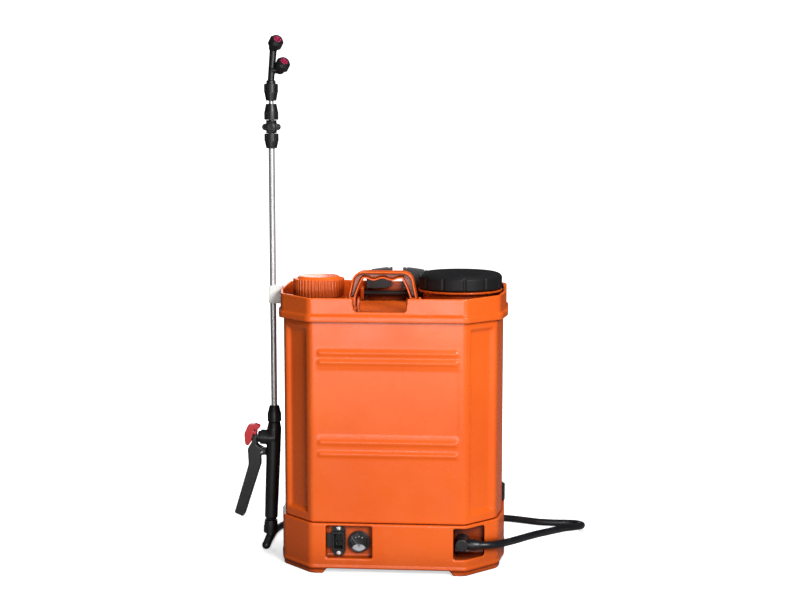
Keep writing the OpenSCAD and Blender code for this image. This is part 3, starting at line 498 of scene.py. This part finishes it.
for node, material, width in (
    ("base_plate", black, 0.6), ("base_screws", zinc, 0.2), ("filler_strainer", black, 0.4),
    ("filler_gasket", seal_rubber, 0.5), ("vent_valve", cap_black, 0.2),
    ("aux_gasket", seal_rubber, 0.5), ("handle_pins", zinc, 0.3), ("clip_screw", zinc, 0.3),
    ("charge_socket", black, 0.6), ("charge_pins", pin_painted_shade, 0.3),
    ("gauge_case", black, 0.4), ("power_switch", black, 0.5), ("switch_rocker", red, 0.4),
    ("battery", battery_case, 1.5), ("battery_terminals", brass, 0.3), ("pump_motor", zinc, 0.8),
    ("pump_head", black, 1.2), ("tank_outlet", black, 0.5), ("suction_pipe", pipe_rubber, 0.4),
    ("delivery_pipe", pipe_rubber, 0.4), ("hose_nut", black, 0.5), ("strap_bar", black, 0.6),
    ("strap_buckles", black, 0.7), ("strap_lugs", black, 1.0), ("swivel_nut", black, 0.35),
    ("trigger_pin", zinc, 0.3), ("valve_cap", black, 0.5), ("valve_spring", zinc, 0.2),
    ("valve_stem", zinc, 0.3), ("lance_nut", black, 0.3), ("outer_tube", tube_steel, 0.3),
    ("clamp_nut_lower", black, 0.3), ("clamp_nut_upper", black, 0.3),
    ("inner_tube", tube_steel, 0.3), ("nozzle_nut", black, 0.3), ("nozzle_tips", crimson, 0.3),
    ("nozzle_cap_lower", black, 0.4), ("nozzle_cap_upper", black, 0.4),
    ("gauge_dial", black, 0.1), ("gauge_needle", needle_paint, 0.1), ("gauge_lens", clear, 0.15),
):
    bevelled(node, material, width * MM)


# ---- Shoulder pads: swollen by cloth, then sewn ----

STRAP_X = 30 * MM
PAD_HALF = 22 * MM
CLOTH_STEPS = 20
PRESSURE = 4.0
SWELL_CAP = 2.2 * MM
SEAM_X = 15.5 * MM
STITCH_X = 18.2
ROW_PITCH = 52 * MM
STITCH_LENGTH = 3.0 * MM
STITCH_PITCH = 4.6 * MM


def set_coordinates(mesh, points):
    mesh.vertices.foreach_set("co", np.asarray(points, dtype=np.float32).ravel())
    mesh.update()


def coordinates(mesh):
    flat = np.empty(len(mesh.vertices) * 3, dtype=np.float32)
    mesh.vertices.foreach_get("co", flat)
    return flat.reshape(-1, 3).astype(float)


def normals_of(mesh):
    flat = np.empty(len(mesh.vertices) * 3, dtype=np.float32)
    mesh.vertices.foreach_get("normal", flat)
    return flat.reshape(-1, 3).astype(float)


def swell(obj, pressure, cap):
    """Blow obj up like filled cloth; no point moves further than cap."""
    rest = coordinates(obj.data)
    cloth = obj.modifiers.new("cloth", "CLOTH")
    cloth.settings.use_pressure = True
    cloth.settings.uniform_pressure_force = pressure
    cloth.settings.effector_weights.gravity = 0.0
    cloth.settings.quality = 4
    scene = bpy.context.scene
    for step in range(1, CLOTH_STEPS + 1):
        scene.frame_set(step)
    graph = bpy.context.evaluated_depsgraph_get()
    swollen = obj.evaluated_get(graph).to_mesh()
    moved = coordinates(swollen) - rest
    obj.modifiers.clear()
    scene.frame_set(1)
    length = np.linalg.norm(moved, axis=1, keepdims=True)
    moved *= np.minimum(1.0, cap / np.maximum(length, 1e-9))
    set_coordinates(obj.data, rest + moved)


def groove(distance, width):
    return np.exp(-((distance / width) ** 2))


def pad_path():
    """Middle line of a pad in the Y-Z plane, from the strap bar down the back."""
    def arc(y, z, a0, a1):
        steps = np.linspace(math.radians(a0), math.radians(a1), 7)
        return [(y + 12 * math.cos(a), z + 12 * math.sin(a)) for a in steps]
    line = [(79, 434)] + arc(91.5, 454.5, 175, 90) + arc(94, 454.5, 78, 5)
    line += [(106, 430), (106, 380), (109, 250), (107, 128)]
    return [Vector((0, y, z)) * MM for y, z in line]


def along(line, points):
    """Distance along the line of its nearest point, for each of points."""
    best = np.full(len(points), 1e9)
    where = np.zeros(len(points))
    run = 0.0
    flat = points[:, 1:3]
    for a, b in zip(line, line[1:]):
        start, step = np.array(a[1:]), np.array((b - a)[1:])
        size = np.linalg.norm(step)
        t = np.clip(((flat - start) @ step) / size**2, 0, 1)
        gap = np.linalg.norm(flat - start - t[:, None] * step, axis=1)
        closer = gap < best
        best = np.where(closer, gap, best)
        where = np.where(closer, run + t * size, where)
        run += size
    return where


def roll(points):
    """The strap's top tips down on its outer side, where it spreads to the shoulder."""
    high = np.clip((points[:, 2] - 0.415) / 0.04, 0, 1)
    out = np.clip((np.abs(points[:, 0]) - 8 * MM) / (2 * PAD_HALF), 0, 1)
    points[:, 2] -= 6 * MM * high * out
    return points


def make_pad(node, side):
    obj = cad_copy(node, node + "_sewn")
    remesh = obj.modifiers.new("remesh", "REMESH")
    remesh.mode = "VOXEL"
    remesh.voxel_size = 4.0 * MM
    bake_modifiers(obj)
    set_coordinates(obj.data, coordinates(obj.data) - 1.2 * MM * normals_of(obj.data))
    swell(obj, PRESSURE, SWELL_CAP)
    finer = obj.modifiers.new("finer", "SUBSURF")
    finer.levels = 2
    bake_modifiers(obj)
    points, normals = coordinates(obj.data), normals_of(obj.data)
    run = along(pad_path(), points)
    across = points[:, 0] - side * STRAP_X
    face = np.clip(1.6 * np.abs(normals[:, 1]) + 1.6 * np.abs(normals[:, 2]) - 0.6, 0, 1)
    sewn = 1.5 * groove(np.abs(across) - SEAM_X, 1.3 * MM)
    row = (run - 60 * MM) % ROW_PITCH - ROW_PITCH / 2
    sewn += 1.6 * groove(row, 1.6 * MM) * (np.abs(across) < 15 * MM) * (run > 40 * MM)
    puff = 0.9 * (1 - groove(row, 14 * MM)) * (1 - groove(np.abs(across) - SEAM_X, 5 * MM))
    wrinkle = 0.25 * np.sin(run * 900 + 3 * np.sin(across * 260))
    wrinkle *= groove(np.abs(across) - 19 * MM, 3 * MM)
    points += normals * (face * (puff - sewn) + wrinkle)[:, None] * MM
    set_coordinates(obj.data, roll(points))
    obj.data.polygons.foreach_set("use_smooth", [True] * len(obj.data.polygons))
    finish_piece(obj, node, strap_cloth)
    return obj


def stitches(name, pad, lines, material):
    """Short threads laid along lines of points that are dropped onto the pad."""
    tree = BVHTree.FromPolygons(
        [v.co for v in pad.data.vertices], [tuple(f.vertices) for f in pad.data.polygons]
    )
    profile = ((-0.5, -0.15, 0.2), (-0.3, 0.28, 0.34), (0.3, 0.28, 0.34), (0.5, -0.15, 0.2))
    verts, faces = [], []
    for line in lines:
        run, spots = 0.0, []
        for a, b in zip(line, line[1:]):
            size = (b - a).length
            while run < size:
                spots.append((a.lerp(b, run / size), (b - a).normalized()))
                run += STITCH_PITCH
            run -= size
        for spot, ahead in spots:
            hit, normal, _, _ = tree.find_nearest(spot)
            if hit is None:
                continue
            side = normal.cross(ahead).normalized()
            start = len(verts)
            deep = normal * 0.3 * MM
            for reach, lift, half in profile:
                middle = hit + ahead * (reach * STITCH_LENGTH) + normal * (lift * MM)
                wide = side * half * MM
                verts += [middle - wide, middle + wide, middle + wide - deep, middle - wide - deep]
            for k in range(3):
                a, b = start + 4 * k, start + 4 * k + 4
                for c in range(4):
                    d = (c + 1) % 4
                    faces.append((a + c, b + c, b + d, a + d))
            faces.append((start + 3, start + 2, start + 1, start))
            faces.append((start + 12, start + 13, start + 14, start + 15))
    threads = object_from(name, verts, faces)
    threads.data.materials.append(material)
    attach(threads, "root")


thread = woven("thread", (0.05, 0.05, 0.055), (0.11, 0.11, 0.12), 0.0009)


def outward_line(offset, x, first, last):
    """Points beside the pad's middle line, on its outer face."""
    line = pad_path()[first:last]
    points = []
    for i, p in enumerate(line):
        ahead = (line[min(len(line) - 1, i + 1)] - line[max(0, i - 1)]).normalized()
        points.append(p + Vector((0, ahead.z, -ahead.y)) * -offset + Vector((x, 0, 0)))
    return points


for node, side in (("shoulder_pad_left", -1), ("shoulder_pad_right", 1)):
    pad = make_pad(node, side)
    seams = [outward_line(6 * MM, side * STRAP_X + x * MM, 4, 99) for x in (-STITCH_X, STITCH_X)]
    stitches(node + "_stitches", pad, seams, thread)


# ---- Webbing ----

WEB_WIDTH = 22 * MM
WEB_THICK = 1.7 * MM


def web_section():
    """Flat band with rounded edges and three low cords along its face."""
    half, thick = WEB_WIDTH / 2, WEB_THICK / 2
    top = []
    for k in range(25):
        x = half * (1 - 2 * k / 24)
        cord = 0.10 * MM * math.cos(3 * math.pi * x / half) - 0.10 * MM
        top.append((x, thick * min(1.0, 6 * (half - abs(x)) / half + 0.25) + cord))
    return top + [(x, -y) for x, y in reversed(top)]


def ribbon(line, normals):
    """One web strap along line, its face turned to normals."""
    section = web_section()
    count = len(section)
    verts, faces = [], []
    for i, (centre, normal) in enumerate(zip(line, normals)):
        ahead = (line[min(len(line) - 1, i + 1)] - line[max(0, i - 1)]).normalized()
        wide = ahead.cross(normal).normalized()
        verts += [centre + wide * x + normal * y for x, y in section]
    for i in range(len(line) - 1):
        for k in range(count):
            m = (k + 1) % count
            a, b = i * count, (i + 1) * count
            faces.append((a + k, b + k, b + m, a + m))
    faces.append(tuple(range(count)))
    faces.append(tuple(reversed(range((len(line) - 1) * count, len(line) * count))))
    return verts, faces


def make_webbing():
    parts = []
    for s in (-1, 1):
        knots = [
            (30, 112.4, 112, 0, 1), (60, 112.5, 106.5, 0, 1), (95, 112.6, 100.5, 0, 1),
            (125, 112.5, 96, 0, 1), (142, 112.4, 94.2, 0, 1), (151, 112.2, 94, 0.1, 1),
            (158, 110.4, 94, 0.45, 0.9), (166, 103.2, 94, 0.72, 0.69), (173.5, 94, 94, 0.78, 0.62),
            (178.6, 86.5, 94, 0.93, 0.36), (180, 81, 94, 1, 0.04), (180, 76.5, 94, 1, 0),
        ]
        line = catmull([Vector(k[:3]) * MM for k in knots], 6)
        turn = catmull([Vector((k[3], k[4], 0)) for k in knots], 6)
        new_verts, new_faces = ribbon(line, [n.normalized() for n in turn])
        if s < 0:
            new_verts = [Vector((-v.x, v.y, v.z)) for v in new_verts]
            new_faces = [tuple(reversed(f)) for f in new_faces]
        parts.append((new_verts, new_faces))
    straps = object_from("webbing_straps", *joined(parts))
    finish_piece(straps, "strap_webbing", web_cloth)


make_webbing()


# ---- Gauge face and small marks ----

def disc(centre, radius, thick):
    """Vertices and faces of a small dome-edged disc that faces along -Y."""
    sides = 24
    verts, faces = [], []
    rings = ((radius, 0.0), (radius, -0.7 * thick), (0.8 * radius, -thick))
    for r, y in rings:
        for k in range(sides):
            a = 2 * math.pi * k / sides
            verts.append(Vector(centre) + Vector((r * math.cos(a), y, r * math.sin(a))))
    for i in range(2):
        for k in range(sides):
            m = (k + 1) % sides
            faces.append((i * sides + k, i * sides + m, (i + 1) * sides + m, (i + 1) * sides + k))
    faces.append(tuple(reversed(range(sides))))
    faces.append(tuple(range(2 * sides, 3 * sides)))
    return verts, faces


def add_marks(name, parts, material):
    obj = object_from(name, *joined(parts), smooth=False)
    obj.data.materials.append(material)
    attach(obj, "root")


GAUGE_AT = (-46.5 * MM, -96.75 * MM, 49 * MM)
DOT_RADIUS = 1.25 * MM
DOT_THICK = 0.25 * MM
DOT_RING = 8.6 * MM
TICK_HALF = 0.18 * MM
TICK_THICK = 0.15 * MM
BOX_FACES = [(0, 1, 2, 3), (7, 6, 5, 4), (0, 4, 5, 1), (1, 5, 6, 2), (2, 6, 7, 3), (3, 7, 4, 0)]


def gauge_marks():
    """Three dots and nine ticks on the dial, and the pale half moon over the needle's hub."""
    x, y, z = GAUGE_AT
    parts = []
    for angle in (128, 90, 52):
        a = math.radians(angle)
        spot = (x + DOT_RING * math.cos(a), y, z + DOT_RING * math.sin(a))
        parts.append(disc(spot, DOT_RADIUS, DOT_THICK))
    for k in range(9):
        a = math.radians(150 - 15 * k)
        out = Vector((math.cos(a), 0, math.sin(a)))
        side = Vector((-math.sin(a), 0, math.cos(a))) * TICK_HALF
        centre = Vector((x, y, z))
        p0, p1 = centre + out * 11.6 * MM, centre + out * (13.6 if k % 4 == 0 else 12.8) * MM
        lift = Vector((0, -TICK_THICK, 0))
        verts = [p0 - side, p1 - side, p1 + side, p0 + side]
        verts += [v + lift for v in verts]
        parts.append((verts, BOX_FACES))
    add_marks("gauge_marks", parts, pale_print)
    arc_points = []
    for k in range(25):
        a = math.radians(222 + 96 * k / 24)
        arc_points.append((x + 14.3 * MM * math.cos(a), z + 14.3 * MM * math.sin(a)))
    for k in range(1, 24):
        a = math.radians(8 + 164 * k / 24)
        arc_points.append((x + 10.2 * MM * math.cos(a), z - 10.6 * MM + 6.6 * MM * math.sin(a)))
    count = len(arc_points)
    verts = [Vector((px, y, pz)) for px, pz in arc_points] + [
        Vector((px, y - 0.9 * MM, pz)) for px, pz in arc_points
    ]
    faces = [tuple(range(count)), tuple(reversed(range(count, 2 * count)))]
    faces += [(k, k + count, (k + 1) % count + count, (k + 1) % count) for k in range(count)]
    add_marks("gauge_cover", [(verts, faces)], pale_print)


gauge_marks()


def domed_screw(centre, radius, height, slot_turn):
    """Head of a cross-slotted screw that faces along -Y, with its slot pressed in."""
    steps, rings = 28, 12
    verts, faces = [], []
    for i in range(1, rings + 1):
        r = radius * i / rings
        for k in range(steps):
            a = 2 * math.pi * k / steps
            px, pz = r * math.cos(a), r * math.sin(a)
            lift = height * math.sqrt(max(0.0, 1 - 0.93 * (r / radius) ** 2))
            u = px * math.cos(slot_turn) + pz * math.sin(slot_turn)
            v = pz * math.cos(slot_turn) - px * math.sin(slot_turn)
            arm = min(abs(u), abs(v))
            if arm < 0.16 * radius and r < 0.66 * radius:
                lift -= 0.45 * height
            verts.append(Vector(centre) + Vector((px, -lift, pz)))
    for k in range(steps):
        verts.append(verts[(rings - 1) * steps + k] * 1.0)
        verts[-1].y = centre[1]
    verts.append(Vector(centre) + Vector((0, -0.5 * height, 0)))
    verts.append(Vector(centre))
    top, bottom = len(verts) - 2, len(verts) - 1
    for k in range(steps):
        m = (k + 1) % steps
        faces.append((top, m, k))
        for i in range(rings):
            faces.append((i * steps + k, i * steps + m, (i + 1) * steps + m, (i + 1) * steps + k))
        faces.append((bottom, rings * steps + k, rings * steps + m))
    return verts, faces


def make_socket_screws():
    low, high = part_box("socket_screws")
    x = (low[0] + high[0]) / 2
    parts = [
        domed_screw((x, low[1] + 2.5 * MM, z), 4.0 * MM, 2.4 * MM, turn)
        for z, turn in ((low[2] + 4 * MM, 0.3), (high[2] - 4 * MM, 1.0))
    ]
    finish_piece(object_from("socket_screw_heads", *joined(parts)), "socket_screws", bright_zinc)


make_socket_screws()


# ---- Stage ----

def make_stage():
    """A white floor that bends up into a backdrop all round."""
    g = Graph("floor_paint")
    tone = g.mix(g.ranged(g.noise(1.3, 3), 0.3, 0.7), (0.80, 0.80, 0.80), (0.84, 0.84, 0.84))
    g.finish(tone, g.ranged(g.noise(5.0, 3), 0.3, 0.7, 0.6, 0.75), None, Specular_IOR_Level=0.2)
    reach = g.add("ShaderNodeVectorMath", operation="LENGTH")
    g.link(g.place, reach.inputs[0])
    glow = g.add("ShaderNodeEmission")
    g.link(g.ranged(reach.outputs["Value"], 0.45, 1.0, 0.60, 1.3), glow.inputs["Strength"])
    both = g.add("ShaderNodeAddShader")
    dim = g.add("ShaderNodeBsdfDiffuse")
    dim.inputs["Color"].default_value = (0.16, 0.16, 0.16, 1.0)
    choose = g.add("ShaderNodeMixShader")
    g.link(g.shader.outputs["BSDF"], both.inputs[0])
    g.link(glow.outputs["Emission"], both.inputs[1])
    g.link(g.add("ShaderNodeLightPath").outputs["Is Camera Ray"], choose.inputs["Fac"])
    g.link(dim.outputs["BSDF"], choose.inputs[1])
    g.link(both.outputs["Shader"], choose.inputs[2])
    g.link(choose.outputs["Shader"], g.tree.nodes["Material Output"].inputs["Surface"])
    flat, bend, sides = 4.0, 2.0, 64
    profile = [(0.0, 0.0), (flat, 0.0)]
    profile += [
        (flat + bend * math.sin(a), bend - bend * math.cos(a)) for a in np.linspace(0.1, 1.5, 14)
    ]
    profile += [(6.1, 4.5)]
    verts, faces = [(0, 0, 0)], []
    for r, z in profile[1:]:
        for k in range(sides):
            a = 2 * math.pi * k / sides
            verts.append((r * math.cos(a), r * math.sin(a), z))
    for k in range(sides):
        faces.append((0, 1 + k, 1 + (k + 1) % sides))
    for i in range(len(profile) - 2):
        for k in range(sides):
            a, b, m = 1 + i * sides, 1 + (i + 1) * sides, (k + 1) % sides
            faces.append((a + k, b + k, b + m, a + m))
    floor = object_from("floor", verts, faces)
    floor.data.materials.append(g.material)


def area_light(name, place, target, size, watts, glossy=True):
    data = bpy.data.lights.new(name, "AREA")
    data.shape = "RECTANGLE"
    data.size, data.size_y = size
    data.energy = watts
    light = bpy.data.objects.new(name, data)
    light.location = place
    light.rotation_euler = (Vector(target) - Vector(place)).to_track_quat("-Z", "Y").to_euler()
    light.visible_camera = False
    light.visible_glossy = glossy
    bpy.context.scene.collection.objects.link(light)


def make_light():
    world = bpy.data.worlds.new("studio")
    world.use_nodes = True
    bpy.context.scene.world = world
    sky = world.node_tree.nodes["Background"]
    sky.inputs["Color"].default_value = (1, 1, 1, 1)
    sky.inputs["Strength"].default_value = 0.05
    area_light("key", (1.1, -2.15, 1.35), (0.0, -0.1, 0.40), (0.7, 0.9), 73)
    area_light("veil", (-0.15, -2.2, 0.19), (0, -0.1, 0.42), (1.3, 0.24), 10)
    area_light("edge", (1.5, -1.9, 0.17), (0.1, -0.1, 0.4), (0.5, 0.14), 1.5)
    area_light("back", (0.0, 2.6, 1.5), (0, 0, 0.4), (3.0, 1.6), 10, glossy=False)
    area_light("gleam", (-0.75, 2.6, 0.8), (-0.1, 0, 0.46), (0.6, 0.5), 3)
    area_light("top", (0.2, 0.5, 2.6), (0, 0, 0.4), (1.2, 1.2), 46, glossy=False)
    bpy.context.scene.view_settings.view_transform = "Standard"


make_stage()
make_light()
